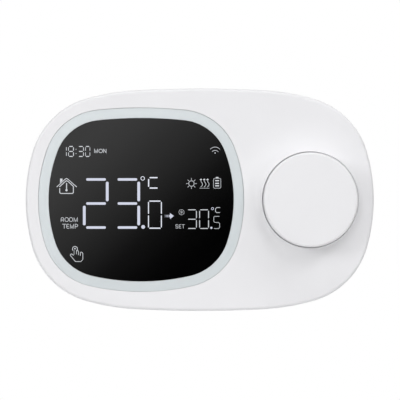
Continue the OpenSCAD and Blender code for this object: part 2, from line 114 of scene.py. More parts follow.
def oval(top, low, cx, a, b, fine=3):
    """Closed outline, clockwise from top centre: rows of x, y, outward normal x, normal y."""
    t, l = quarter(top, a, b, fine), quarter(low, a, b, fine)
    n, m = len(t) - 1, len(l) - 1
    rows = [t[i] for i in range(n)]
    rows += [(l[i][0], -l[i][1], l[i][2], -l[i][3]) for i in range(m, 0, -1)]
    rows += [(-l[i][0], -l[i][1], -l[i][2], -l[i][3]) for i in range(m)]
    rows += [(-t[i][0], t[i][1], -t[i][2], t[i][3]) for i in range(n, 0, -1)]
    rows = np.array(rows)
    rows[:, 0] += cx
    return rows


BODY = oval(BODY_ARCS, BODY_ARCS, 0.0, BODY_A, BODY_B)
WINDOW = oval(WINDOW_TOP, WINDOW_LOW, WIN_X, WIN_A, WIN_B)


def ring_at(outline, inset, z):
    """The outline moved in by inset, at height z (a number or one per point)."""
    xy = outline[:, :2] - inset * outline[:, 2:4]
    return np.column_stack([xy, np.broadcast_to(z, len(xy))])


def ring_dir(outline, side, up):
    """Normals that lean from the outline's outward direction (side) to the front (up)."""
    n = np.column_stack([outline[:, 2] * side, outline[:, 3] * side, np.full(len(outline), float(up))])
    return n / np.linalg.norm(n, axis=1)[:, None]


def circle(cx, cy, r, z, n=144):
    a = np.arange(n) * 2 * math.pi / n
    return np.column_stack([cx + r * np.cos(a), cy + r * np.sin(a), np.broadcast_to(z, n)])


def circle_dir(side, up, n=144):
    a = np.arange(n) * 2 * math.pi / n
    v = np.column_stack([np.cos(a) * side, np.sin(a) * side, np.full(n, float(up))])
    return v / np.linalg.norm(v, axis=1)[:, None]


def flare(r):
    """Height of the flared knob seat over the flat face, at distance r from the knob's axis."""
    u = np.clip((FLARE_R - r) / (FLARE_R - WELL), 0, 1)
    return FLARE_H * (0.8 * u ** 3 + 0.2 * u ** 8)


def flare_slope(r):
    u = np.clip((FLARE_R - r) / (FLARE_R - WELL), 0, 1)
    return FLARE_H / (FLARE_R - WELL) * (2.4 * u ** 2 + 1.6 * u ** 7)


def face_z(xy):
    return FACE + flare(np.hypot(xy[:, 0] - SEAT_X, xy[:, 1]))


def face_dir(xy):
    dx, dy = xy[:, 0] - SEAT_X, xy[:, 1]
    r = np.hypot(dx, dy)
    s = flare_slope(r)
    n = np.column_stack([s * dx / r, s * dy / r, np.ones(len(r))])
    return n / np.linalg.norm(n, axis=1)[:, None]


def inside(loop, pts):
    """Which points lie inside the closed loop, both in 2-D."""
    x, y = pts[:, 0][:, None], pts[:, 1][:, None]
    x0, y0 = loop[:, 0][None], loop[:, 1][None]
    x1, y1 = np.roll(loop[:, 0], -1)[None], np.roll(loop[:, 1], -1)[None]
    cross = (y0 > y) != (y1 > y)
    with np.errstate(divide="ignore", invalid="ignore"):
        at = x0 + (y - y0) * (x1 - x0) / (y1 - y0)
    return (np.where(cross & (x < at), 1, 0).sum(1) % 2) == 1


# ---------------------------------------------------------------- mesh building
class Skin:
    """Faces given with a normal for every corner, welded where corners meet."""

    def __init__(self):
        self.points, self.lookup, self.faces, self.normals = [], {}, [], []

    def corner(self, p):
        key = tuple(int(math.floor(c * 2000 + 0.137)) for c in p)
        if key not in self.lookup:
            self.lookup[key] = len(self.points)
            self.points.append((float(p[0]), float(p[1]), float(p[2])))
        return self.lookup[key]

    def face(self, pts, dirs):
        ids = [self.corner(p) for p in pts]
        keep = [i for i in range(len(ids)) if ids[i] != ids[i - 1]]
        ids, dirs = [ids[i] for i in keep], [dirs[i] for i in keep]
        if len(set(ids)) < 3:
            return
        g = [0.0, 0.0, 0.0]
        for i in range(len(ids)):
            p, q = self.points[ids[i]], self.points[ids[(i + 1) % len(ids)]]
            g[0] += (p[1] - q[1]) * (p[2] + q[2])
            g[1] += (p[2] - q[2]) * (p[0] + q[0])
            g[2] += (p[0] - q[0]) * (p[1] + q[1])
        if sum(g[k] * sum(d[k] for d in dirs) for k in range(3)) < 0:
            ids.reverse()
            dirs = dirs[::-1]
        self.faces.append(ids)
        self.normals.extend(dirs)

    def strip(self, a, b, na, nb=None, closed=True):
        """Quads between two rows of points."""
        nb = na if nb is None else nb
        n = len(a)
        for i in range(n if closed else n - 1):
            j = (i + 1) % n
            self.face([a[i], a[j], b[j], b[i]], [na[i], na[j], nb[j], nb[i]])

    def lathe(self, cx, cy, profile, n=144, closed=False):
        """Surface round an upright axis. profile rows: radius, z, normal out, normal up."""
        rows = list(profile) + ([profile[0]] if closed else [])
        for p, q in zip(rows[:-1], rows[1:]):
            self.strip(circle(cx, cy, p[0], p[1], n), circle(cx, cy, q[0], q[1], n),
                       circle_dir(p[2], p[3], n), circle_dir(q[2], q[3], n))

    def fill(self, loops, z_of, dir_of, extra=None):
        """Surface over the area inside loops[0] and outside the others."""
        loops = [np.asarray(l)[:, :2] for l in loops]
        pts, edges = [], []
        for l in loops:
            k = len(pts)
            pts += [tuple(p) for p in l]
            edges += [(k + i, k + (i + 1) % len(l)) for i in range(len(l))]
        if extra is not None:
            pts += [tuple(p) for p in extra]
        given = np.array(pts)
        out, _, tris, orig, _, _ = delaunay_2d_cdt([Vector(p) for p in pts], edges, [], 0, 1e-7)
        xy = np.array([given[o[0]] if len(o) else (v.x, v.y) for v, o in zip(out, orig)])
        tris = np.array([t for t in tris if len(t) == 3])
        mid = xy[tris].mean(1)
        ok = inside(loops[0], mid)
        for l in loops[1:]:
            ok &= ~inside(l, mid)
        z, d = z_of(xy), dir_of(xy)
        p3 = np.column_stack([xy, z])
        for t in tris[ok]:
            self.face([p3[i] for i in t], [d[i] for i in t])

    def plane(self, loops, z, up):
        self.fill(loops, lambda p: np.full(len(p), float(z)), lambda p: np.tile((0.0, 0.0, float(up)), (len(p), 1)))

    def wall(self, loop, z0, z1, out=1):
        """Straight wall under a loop, with flat normals. out = -1 for the side of a hole."""
        loop = np.asarray(loop)[:, :2]
        turn = 1 if area(loop) > 0 else -1
        for i in range(len(loop)):
            p, q = loop[i], loop[(i + 1) % len(loop)]
            d = (q - p) / max(1e-9, np.linalg.norm(q - p))
            n = (d[1] * turn * out, -d[0] * turn * out, 0.0)
            self.face([(*p, z0), (*q, z0), (*q, z1), (*p, z1)], [n] * 4)

    def mesh(self, name):
        me = bpy.data.meshes.new(name)
        me.from_pydata([put(p) for p in self.points], [], self.faces)
        me.polygons.foreach_set("use_smooth", [True] * len(me.polygons))
        me.validate()
        me.normals_split_custom_set([(n[0], -n[2], n[1]) for n in self.normals])
        me.update()
        return me

    def piece(self, name):
        o = bpy.data.objects.new(name, self.mesh(name))
        bpy.context.scene.collection.objects.link(o)
        return o


def area(loop):
    x, y = loop[:, 0], loop[:, 1]
    return 0.5 * float(np.sum(x * np.roll(y, -1) - np.roll(x, -1) * y))


def rect(x0, x1, y0, y1):
    return np.array([(x0, y0), (x1, y0), (x1, y1), (x0, y1)], float)


def arc_profile(cr, cz, r, a0, a1, n):
    """Lathe or sweep rows along an arc; angles from outward (0) to up (90)."""
    rows = []
    for k in range(n + 1):
        a = math.radians(a0 + (a1 - a0) * k / n)
        rows.append((cr + r * math.cos(a), cz + r * math.sin(a), math.cos(a), math.sin(a)))
    return rows


def sweep(skin, outline, profile, closed=False):
    """Profile rows (inset, z, out, up) carried round an outline."""
    rows = list(profile) + ([profile[0]] if closed else [])
    for p, q in zip(rows[:-1], rows[1:]):
        skin.strip(ring_at(outline, p[0], p[1]), ring_at(outline, q[0], q[1]),
                   ring_dir(outline, p[2], p[3]), ring_dir(outline, q[2], q[3]))


def prism(loop, z0, z1, name="tool"):
    s = Skin()
    s.plane([loop], z0, -1)
    s.plane([loop], z1, 1)
    s.wall(loop, z0, z1)
    return s


def join(skins):
    """Separate closed shapes as one mesh."""
    s = Skin()
    for k in skins:
        base = len(s.points)
        s.points += k.points
        s.faces += [[i + base for i in f] for f in k.faces]
        s.normals += k.normals
    return s


def combine(obj, skins, operation):
    tool = join(skins).piece("tool")
    m = obj.modifiers.new("cut", "BOOLEAN")
    m.operation, m.object, m.solver = operation, tool, "EXACT"
    keep(obj)
    mesh = tool.data
    bpy.data.objects.remove(tool)
    bpy.data.meshes.remove(mesh)


def keep(obj):
    """Applies the object's modifiers to its mesh."""
    dg = bpy.context.evaluated_depsgraph_get()
    dg.update()
    new = bpy.data.meshes.new_from_object(obj.evaluated_get(dg), preserve_all_data_layers=True, depsgraph=dg)
    old = obj.data
    obj.modifiers.clear()
    obj.data = new
    name = old.name
    bpy.data.meshes.remove(old)
    new.name = name


def smooth(obj, angle=35):
    """Smooth shading up to the angle, with large faces keeping their own direction."""
    me = obj.data
    if "custom_normal" in me.attributes:
        me.attributes.remove(me.attributes["custom_normal"])
    me.polygons.foreach_set("use_smooth", [True] * len(me.polygons))
    me.set_sharp_from_angle(angle=math.radians(angle))
    m = obj.modifiers.new("normals", "WEIGHTED_NORMAL")
    m.mode, m.weight, m.keep_sharp = "FACE_AREA", 50, True
    keep(obj)


# ---------------------------------------------------------------- front cover
def front_cover():
    s = Skin()
    # rounded front edge, whose height follows the flared seat
    rings, dirs = [], []
    for k in range(13):
        a = math.radians(90 * k / 12)
        xy = ring_at(BODY, EDGE * (1 - math.cos(a)), 0)[:, :2]
        rings.append(np.column_stack([xy, face_z(xy) - EDGE * (1 - math.sin(a))]))
        n = math.cos(a) * ring_dir(BODY, 1, 0) + math.sin(a) * face_dir(xy)
        dirs.append(n / np.linalg.norm(n, axis=1)[:, None])
    for p, q, m, n in zip(rings[:-1], rings[1:], dirs[:-1], dirs[1:]):
        s.strip(p, q, m, n)
    side = ring_dir(BODY, 1, 0)
    mid = ring_at(BODY, 0, CEIL - 1)
    s.strip(mid, rings[0], side)
    s.strip(ring_at(BODY, 0, SPLIT + SEAM), mid, side)
    s.strip(ring_at(BODY, 0, SPLIT + SEAM), ring_at(BODY, SEAM, SPLIT), ring_dir(BODY, 1, -1))
    s.strip(ring_at(BODY, SEAM, SPLIT), ring_at(BODY, SHELL, SPLIT), ring_dir(BODY, 0, -1))
    s.strip(ring_at(BODY, SHELL, SPLIT), ring_at(BODY, SHELL, CEIL), ring_dir(BODY, -1, 0))

    # rim of the knob's well: a small fillet from the flare into the upright wall
    r0 = 0.28
    tilt = math.atan(float(flare_slope(WELL + r0)))
    for _ in range(20):
        rt = WELL + r0 * (1 + math.sin(tilt))
        tilt = math.atan(float(flare_slope(rt)))
    rt = WELL + r0 * (1 + math.sin(tilt))
    cz = FACE + float(flare(rt)) - r0 * math.cos(tilt)
    lip = []
    for k in range(9):
        a = math.pi / 2 - tilt + (math.pi / 2 + tilt) * k / 8
        lip.append((WELL + r0 + r0 * math.cos(a), cz + r0 * math.sin(a), math.cos(a), math.sin(a)))
    lip[0] = (rt, FACE + float(flare(rt)), lip[0][2], lip[0][3])
    s.lathe(SEAT_X, 0, lip)
    s.lathe(SEAT_X, 0, [(WELL, lip[-1][1], -1, 0), (WELL, WELL_Z + 0.15, -1, 0)])
    s.lathe(SEAT_X, 0, [(WELL - 0.15 + 0.15 * math.cos(math.radians(t)), WELL_Z + 0.15 - 0.15 * math.sin(math.radians(t)),
                     -math.cos(math.radians(t)), math.sin(math.radians(t))) for t in (0, 30, 60, 90)])
    s.lathe(SEAT_X, 0, [(WELL - 0.15, WELL_Z, 0, 1), (9.5, WELL_Z, 0, 1)])
    s.lathe(SEAT_X, 0, [(9.5, WELL_Z, -1, 0), (9.5, FACE - 0.4, -1, 0)])
    s.lathe(SEAT_X, 0, [(9.5, FACE - 0.4, 0, -1), (17.6, FACE - 0.4, 0, -1)])
    s.lathe(SEAT_X, 0, [(17.6, FACE - 0.4, -1, 0), (17.6, CEIL, -1, 0)])

    # window opening with a softened edge
    r1 = 0.18
    off = RING + 0.08
    edge = ring_at(WINDOW, -(off + r1), 0)[:, :2]
    top_z, top_n = face_z(edge), face_dir(edge)
    rows, nrm = [], []
    for k in range(6):
        a = math.radians(90 * k / 5)
        xy = ring_at(WINDOW, -(off + r1 * (1 - math.sin(a))), 0)[:, :2]
        rows.append(np.column_stack([xy, top_z - r1 * (1 - math.cos(a))]))
        n = math.cos(a) * top_n - math.sin(a) * ring_dir(WINDOW, 1, 0)
        nrm.append(n / np.linalg.norm(n, axis=1)[:, None])
    for p, q, m, n in zip(rows[:-1], rows[1:], nrm[:-1], nrm[1:]):
        s.strip(p, q, m, n)
    s.strip(rows[-1], ring_at(WINDOW, -off, CEIL), ring_dir(WINDOW, -1, 0))

    # the face, with rings of points where the seat flares up
    extra = []
    for r in np.arange(rt + 0.35, FLARE_R + 0.3, 0.5):
        k = int(round(r / (FLARE_R - WELL) * 2)) % 2
        a = (np.arange(160) + 0.5 * k) * 2 * math.pi / 160
        extra.append(np.column_stack([SEAT_X + r * np.cos(a), r * np.sin(a)]))
    extra = np.vstack(extra)
    extra = extra[inside(ring_at(BODY, EDGE + 0.3, 0), extra)]
    extra = extra[~inside(ring_at(WINDOW, -(off + r1 + 0.3), 0), extra)]
    s.fill([rings[-1], rows[0], circle(SEAT_X, 0, rt, 0)], face_z, face_dir, extra)

    # underside: screw posts and snap tabs stand on the ceiling
    posts = [circle(x, y, 3, 0, 40) for x, y in POSTS]
    tabs = [(WIN_X - 4, WIN_X + 4, 40.0, 41.2), (WIN_X - 4, WIN_X + 4, -41.2, -40.0), (-66.7, -65.5, -4.0, 4.0)]
    feet = [rect(*t) for t in tabs]
    s.plane([ring_at(BODY, SHELL, 0), ring_at(WINDOW, -off, 0), circle(SEAT_X, 0, 17.6, 0)] + posts + feet, CEIL, -1)
    for x, y in POSTS:
        s.lathe(x, y, [(3, CEIL, 1, 0), (3, SPLIT + 1.5, 1, 0)], 40)
        s.lathe(x, y, [(3, SPLIT + 1.5, 0, -1), (1.12, SPLIT + 1.5, 0, -1)], 40)
        s.lathe(x, y, [(1.12, SPLIT + 1.5, -1, 0), (1.12, CEIL - 1.2, -1, 0)], 40)
        s.plane([circle(x, y, 1.12, 0, 40)], CEIL - 1.2, -1)
    low, c0, c1 = SPLIT - 3.5, SPLIT - 3, SPLIT + 0.6
    for i, (x0, x1, y0, y1) in enumerate(tabs):
        across = i < 2
        o0, o1 = (y0, y1) if across else (x0, x1)
        sign = 1 if (o0 + o1) > 0 else -1
        near, far = (o0, o1) if sign > 0 else (o1, o0)
        prof = [(near, CEIL), (near, low), (far, low), (far, c0), (far + sign * 0.7, c0 + 0.5), (far + sign * 0.7, c1 - 0.1), (far, c1), (far, CEIL)]
        w0, w1 = (x0, x1) if across else (y0, y1)

        def at(w, p):
            return (w, p[0], p[1]) if across else (p[0], w, p[1])
        side_n = (1.0, 0.0, 0.0) if across else (0.0, 1.0, 0.0)
        s.face([at(w1, p) for p in prof], [side_n] * len(prof))
        s.face([at(w0, p) for p in prof], [tuple(-c for c in side_n)] * len(prof))
        cx = sum(p[0] for p in prof) / len(prof)
        for p, q in zip(prof[:-1], prof[1:]):
            d = (q[0] - p[0], q[1] - p[1])
            n2 = (d[1], -d[0])
            m = math.hypot(*n2)
            # outward in the tab's own section: the section runs near side down, far side up
            n2 = (-n2[0] * sign / m * -1, -n2[1] * sign / m * -1)
            n2 = (n2[0], n2[1])
            out = (0.0, n2[0], n2[1]) if across else (n2[0], 0.0, n2[1])
            s.face([at(w0, p), at(w1, p), at(w1, q), at(w0, q)], [out] * 4)
    return s.piece("front_cover_moulding")


cover = front_cover()


# ---------------------------------------------------------------- rear housing
def stadium(cx, cy, half, r, upright=False, n=8):
    pts = []
    for k in range(2 * n + 2):
        a = -math.pi / 2 + math.pi * (k if k <= n else k - 1) / n
        s = (half - r) if k <= n else -(half - r)
        x, y = s + r * math.cos(a), r * math.sin(a)
        pts.append((cx - y, cy + x) if upright else (cx + x, cy + y))
    return np.array(pts)


def rear_housing():
    s = Skin()
    back = rear_z0
    e = 1.2
    rows = [(e, back, 0, -1)]
    for k in range(1, 9):
        a = math.radians(90 * k / 8)
        rows.append((e - e * math.sin(a), back + e - e * math.cos(a), math.sin(a), -math.cos(a)))
    sweep(s, BODY, rows)
    sweep(s, BODY, [(0, back + e, 1, 0), (0, SPLIT - SEAM, 1, 0)])
    sweep(s, BODY, [(0, SPLIT - SEAM, 1, 1), (SEAM, SPLIT, 1, 1)])
    sweep(s, BODY, [(SEAM, SPLIT, 0, 1), (SHELL + 0.1, SPLIT, 0, 1)])
    # lip that lines up the front shell, with a lead-in chamfer
    sweep(s, BODY, [(SHELL + 0.1, SPLIT, 1, 0), (SHELL + 0.1, SPLIT + 1.0, 1, 0)])
    sweep(s, BODY, [(SHELL + 0.1, SPLIT + 1.0, 1, 1), (SHELL + 0.3, SPLIT + 1.2, 1, 1)])
    sweep(s, BODY, [(SHELL + 0.3, SPLIT + 1.2, 0, 1), (SHELL + 1, SPLIT + 1.2, 0, 1)])
    sweep(s, BODY, [(SHELL + 1, SPLIT + 1.2, -1, 0), (SHELL + 1, SPLIT - 2.5, -1, 0)])
    sweep(s, BODY, [(SHELL + 1, SPLIT - 2.5, 0, -1), (SHELL, SPLIT - 2.5, 0, -1)])
    sweep(s, BODY, [(SHELL, SPLIT - 2.5, -1, 0), (SHELL, BACK_1, -1, 0)])
    s.plane([ring_at(BODY, SHELL, 0)], BACK_1, 1)
    # back: narrow land, softened corner, recess for the wall plate
    sweep(s, BODY, [(e, back, 0, -1), (2.0, back, 0, -1)])
    sweep(s, BODY, [(2.0, back, -1, -1), (2.2, back + 0.2, -1, -1)])
    sweep(s, BODY, [(2.2, back + 0.2, -1, 0), (2.2, BACK_0 - 0.3, -1, 0)])
    sweep(s, BODY, [(2.2 + 0.3 * (1 - math.cos(a)), BACK_0 - 0.3 + 0.3 * math.sin(a), -math.cos(a), -math.sin(a))
                    for a in (0, math.pi / 6, math.pi / 3, math.pi / 2)])
    s.plane([ring_at(BODY, 2.5, 0)], BACK_0, -1)
    o = s.piece("rear_housing_moulding")
    bay = rect(BAY_X[0] - 1.2, BAY_X[1] + 1.2, -BAY_Y - 1.2, BAY_Y + 1.2)
    adds = [prism(bay, BACK_1 - 0.3, BAY_TOP + 1.2)]
    adds += [prism(circle(x, y, 3.2, 0, 40), BACK_1 - 0.3, SPLIT + 1.4) for x, y in POSTS]
    adds += [prism(circle(x, y, 2.8, 0, 32), BACK_1 - 0.3, span("main_board")[2][0]) for x, y in BOARD_POSTS]
    combine(o, adds, "UNION")
    cuts = [prism(rect(BAY_X[0], BAY_X[1], -BAY_Y, BAY_Y), -1, BAY_TOP)]
    for x, y in POSTS:
        cuts.append(prism(circle(x, y, 2.4, 0, 40), -1, 8))
    cuts += [prism(circle(x, y, 0.92, 0, 24), 9, 20) for x, y in BOARD_POSTS]
    for sx in (-1, 1):
        for y in HOOK_Y:
            cuts.append(prism(rect(sx * HOOK_X - 1.9, sx * HOOK_X + 1.9, y - 7.4, y), 1, BACK_1 + 1))
        cuts.append(prism(rect(BAY_X[0] + 0.05, BAY_X[0] + 0.65, sx * 5.6 - 1.2, sx * 5.6 + 1.2), BAY_TOP - 0.5, BAY_TOP + 2))
        y0, y1 = (38, 42.1) if sx > 0 else (-42.1, -38)
        cuts.append(prism(rect(WIN_X - 4.6, WIN_X + 4.6, y0, y1), SPLIT - 3.2, SPLIT + 2))
        for i in range(-4, 5):
            v = Skin()
            y0, y1 = (40.0, 46.0) if sx > 0 else (-46.0, -40.0)
            loop = stadium(i * 3.6, 8.5, 2.5, 0.8, upright=True)
            near = [(p[0], y0, p[1]) for p in loop]
            far = [(p[0], y1, p[1]) for p in loop]
            v.face(near, [(0.0, -1.0, 0.0)] * len(near))
            v.face(far, [(0.0, 1.0, 0.0)] * len(far))
            c = loop.mean(0)
            for k in range(len(loop)):
                p, q = loop[k], loop[(k + 1) % len(loop)]
                d = (p + q) / 2 - c
                v.face([near[k], near[(k + 1) % len(loop)], far[(k + 1) % len(loop)], far[k]], [(d[0], 0.0, d[1])] * 4)
            cuts.append(v)
    cuts.append(prism(rect(-67.6, -64, -4.6, 4.6), SPLIT - 3.2, SPLIT + 2))
    combine(o, cuts, "DIFFERENCE")
    combine(o, [prism(circle(x, y, 1.25, 0, 32), 7, SPLIT + 3) for x, y in POSTS], "DIFFERENCE")
    smooth(o)
    return o


rear = rear_housing()


# ---------------------------------------------------------------- light ring, lens, knob
def light_ring():
    s = Skin()
    # the top face falls a little from the glass out to the groove
    r, ri, drop = 0.15, 0.08, 0.17
    tilt = math.atan(drop / (RING - 0.05 - ri - r))
    prof = [(-RING, CEIL, 1, 0)]
    prof += [(-RING + r * (1 - math.cos(a)), FACE - drop - r + r * math.sin(a), math.cos(a), math.sin(a))
             for a in np.linspace(0, math.pi / 2 - tilt, 6)]
    prof += [(-0.05 - ri + ri * math.sin(a), FACE - ri + ri * math.cos(a), -math.sin(a), math.cos(a))
             for a in np.linspace(-tilt, math.pi / 2, 6)]
    prof += [(-0.05, CEIL, -1, 0)]
    sweep(s, WINDOW, prof)
    sweep(s, WINDOW, [(-0.05, CEIL, 0, 1), (2.0, CEIL, 0, 1)])
    sweep(s, WINDOW, [(2.0, CEIL, -1, 0), (2.0, CEIL - 1, -1, 0)])
    sweep(s, WINDOW, [(2.0, CEIL - 1, 0, -1), (-RING - 1.3, CEIL - 1, 0, -1)])
    sweep(s, WINDOW, [(-RING - 1.3, CEIL - 1, 1, 0), (-RING - 1.3, CEIL, 1, 0)])
    sweep(s, WINDOW, [(-RING - 1.3, CEIL, 0, 1), (-RING, CEIL, 0, 1)])
    o = s.piece("light_ring_guide")
    mid = ring_at(WINDOW, -RING / 2, 0)
    step = len(mid) // 8
    pipes = [prism(circle(mid[step * k][0], mid[step * k][1], 1.4, 0, 32), span("light_ring")[2][0], CEIL - 0.5) for k in range(8)]
    combine(o, pipes, "UNION")
    cuts = [prism(rect(WIN_X - 4.6, WIN_X + 4.6, 39.6, 43), CEIL - 2, CEIL + 1),
            prism(rect(WIN_X - 4.6, WIN_X + 4.6, -43, -39.6), CEIL - 2, CEIL + 1),
            prism(rect(-67.5, -65, -4.6, 4.6), CEIL - 2, CEIL + 1)]
    combine(o, cuts, "DIFFERENCE")
    smooth(o, 40)
    return o


def display_lens():
    s = Skin()
    r = 0.14
    prof = [(0.05, lens_z0, 1, -1), (0, lens_z0 + 0.05, 1, -1)]
    sweep(s, WINDOW, prof)
    sweep(s, WINDOW, [(0, lens_z0 + 0.05, 1, 0), (0, FACE - r, 1, 0)])
    rows = [(r * (1 - math.cos(math.radians(t))), FACE - r + r * math.sin(math.radians(t)), math.cos(math.radians(t)), math.sin(math.radians(t)))
            for t in (0, 22.5, 45, 67.5, 90)]
    sweep(s, WINDOW, rows)
    s.plane([ring_at(WINDOW, r, 0)], FACE, 1)
    s.plane([ring_at(WINDOW, 0.05, 0)], lens_z0, -1)
    return s.piece("display_window")


def knob_cap():
    s = Skin()
    e, q = 1.0, 0.15
    top, low = knob_z1, knob_z0
    n = 192
    s.lathe(KX, 0, [(KR - q, low, 0, -1), (KR - 1.5 + q, low, 0, -1)], n)
    s.lathe(KX, 0, [(KR - q + q * math.sin(math.radians(t)), low + q - q * math.cos(math.radians(t)), math.sin(math.radians(t)), -math.cos(math.radians(t))) for t in (0, 30, 60, 90)], n)
    s.lathe(KX, 0, [(KR, low + q, 1, 0), (KR, top - e, 1, 0)], n)
    s.lathe(KX, 0, arc_profile(KR - e, top - e, e, 0, 90, 12), n)
    s.plane([circle(KX, 0, KR - e, 0, n)], top, 1)
    s.lathe(KX, 0, [(KR - 1.5, low + q, -1, -1), (KR - 1.5 + q, low, -1, -1)], n)
    s.lathe(KX, 0, [(KR - 1.5, low + q, -1, 0), (KR - 1.5, top - 1.6, -1, 0)], n)
    s.plane([circle(KX, 0, KR - 1.5, 0, n)], top - 1.6, -1)
    o = s.piece("knob_cap_moulding")
    ribs = []
    for k in range(6):
        a = math.radians(30 + 60 * k)
        u, v = np.array((math.cos(a), math.sin(a))), np.array((-math.sin(a), math.cos(a)))
        loop = np.array([u * 8.3 - v * 0.5, u * (KR - 1) - v * 0.5, u * (KR - 1) + v * 0.5, u * 8.3 + v * 0.5]) + np.array((KX, 0))
        ribs.append(prism(loop, low + 1.9, top - 1.2))
    combine(o, ribs, "UNION")
    boss = prism(circle(KX, 0, 8.9, 0, 96), top - 3.4, top - 1.2)
    combine(o, [boss], "UNION")
    combine(o, [prism(circle(KX, 0, 7.9, 0, 96), low - 1, top - 1.6)], "DIFFERENCE")
    smooth(o, 40)
    return o


ring = light_ring()
lens = display_lens()
knob = knob_cap()


# ---------------------------------------------------------------- display marks
# The panel's segments are laid out on a grid of G millimetres with the window's centre at (141.15, 199.75), y down.
G = 0.4013
MARK_Z = (FACE - 0.02, FACE + 0.03)


def grid(x, y):
    return (WIN_X + (x - 141.15) * G, (199.75 - y) * G)


class Marks(Skin):
    """Thin solid shapes that stand just proud of the window."""

    def shape(self, loop, hole=None):
        loop = np.array(loop, float)
        if hole is None:
            self.face([(*p, MARK_Z[1]) for p in loop], [(0.0, 0.0, 1.0)] * len(loop))
            self.face([(*p, MARK_Z[0]) for p in loop], [(0.0, 0.0, -1.0)] * len(loop))
        else:
            hole = np.array(hole, float)
            for i in range(len(loop)):
                j = (i + 1) % len(loop)
                for z, up in ((MARK_Z[1], 1.0), (MARK_Z[0], -1.0)):
                    self.face([(*loop[i], z), (*loop[j], z), (*hole[j], z), (*hole[i], z)], [(0.0, 0.0, up)] * 4)
            self.wall(hole, *MARK_Z, out=-1)
        self.wall(loop, *MARK_Z)

    def stroke(self, pts, w, closed=False, caps=True):
        """A line of width w through grid points."""
        p = np.array([grid(*q) for q in pts])
        h = w * G / 2
        n = len(p)
        left, right = [], []
        for i in range(n):
            a = p[i] - p[i - 1] if (i > 0 or closed) else p[1] - p[0]
            b = p[(i + 1) % n] - p[i] if (i < n - 1 or closed) else p[-1] - p[-2]
            a, b = a / np.linalg.norm(a), b / np.linalg.norm(b)
            m = np.array((-(a[1] + b[1]), a[0] + b[0]))
            m /= max(1e-9, np.linalg.norm(m))
            k = h / max(0.35, m[0] * -b[1] + m[1] * b[0])
            left.append(p[i] + m * k)
            right.append(p[i] - m * k)
        if closed:
            self.shape(left, right) if abs(area(np.array(left))) > abs(area(np.array(right))) else self.shape(right, left)
            return
        loop = list(left)
        for end, d in ((p[-1], p[-1] - p[-2]), (p[0], p[0] - p[1])):
            if caps:
                a0 = math.atan2(d[1], d[0])
                loop += [end + h * np.array((math.cos(a0 + t), math.sin(a0 + t))) for t in (math.pi / 4, 0, -math.pi / 4)]
            if end is p[-1] or (end == p[-1]).all():
                loop += right[::-1]
        self.shape(loop)

    def bar(self, x0, y0, x1, y1):
        """One display segment: a bar with rounded ends."""
        a, b = grid(x0, y0), grid(x1, y1)
        cx, cy = (a[0] + b[0]) / 2, (a[1] + b[1]) / 2
        w, h = abs(b[0] - a[0]), abs(b[1] - a[1])
        r = min(w, h) / 2
        e = r * 0.86
        loop = []
        if w >= h:
            for sx in (1, -1):
                loop += [(cx + sx * (w / 2 - e + e * math.cos(t)), cy + sx * r * math.sin(t)) for t in np.linspace(-math.pi / 2, math.pi / 2, 9)]
        else:
            for sy in (1, -1):
                loop += [(cx - sy * r * math.sin(t), cy + sy * (h / 2 - e + e * math.cos(t))) for t in np.linspace(-math.pi / 2, math.pi / 2, 9)]
        self.shape(loop)

    def disc(self, x, y, r, n=24):
        c = grid(x, y)
        self.shape([(c[0] + r * G * math.cos(t), c[1] + r * G * math.sin(t)) for t in np.arange(n) * 2 * math.pi / n])

    def loop_ring(self, x, y, r, w, n=32):
        c = grid(x, y)
        def at(k):
            return [(c[0] + k * G * math.cos(t), c[1] + k * G * math.sin(t)) for t in np.arange(n) * 2 * math.pi / n]
        self.shape(at(r + w / 2), at(r - w / 2))

    def arc(self, x, y, r, a0, a1, w, n=12):
        self.stroke([(x + r * math.cos(math.radians(t)), y - r * math.sin(math.radians(t))) for t in np.linspace(a0, a1, n)], w)

    def seg(self, x0, y0, x1, y1, w):
        """A straight display segment along its middle line, w wide."""
        if abs(x1 - x0) >= abs(y1 - y0):
            self.bar(x0, y0 - w / 2, x1, y0 + w / 2)
        else:
            self.bar(x0 - w / 2, y0, x0 + w / 2, y1)

    def digit(self, value, x0, y0, x1, y1, w, end=0.6, mid=0.6):
        """Seven-segment figure: the box is through the middle lines, the gaps are at its corners and middle."""
        ym = (y0 + y1) / 2
        bars = {
            "a": (x0 + end, y0, x1 - end, y0), "d": (x0 + end, y1, x1 - end, y1), "g": (x0 + end, ym, x1 - end, ym),
            "b": (x1, y0 + end, x1, ym - mid), "c": (x1, ym + mid, x1, y1 - end),
            "f": (x0, y0 + end, x0, ym - mid), "e": (x0, ym + mid, x0, y1 - end)}
        for k in value:
            self.seg(*bars[k], w)

    def letters(self, text, boxes, y0, y1, w):
        """Plain capitals of single strokes: boxes holds each letter's left and right."""
        for c, (x0, x1) in zip(text, boxes):
            for line in LETTER[c]:
                pts = [(x0 + (x1 - x0) * u, y0 + (y1 - y0) * v) for u, v in line]
                closed = pts[0] == pts[-1]
                self.stroke(pts[:-1] if closed else pts, w, closed=closed)


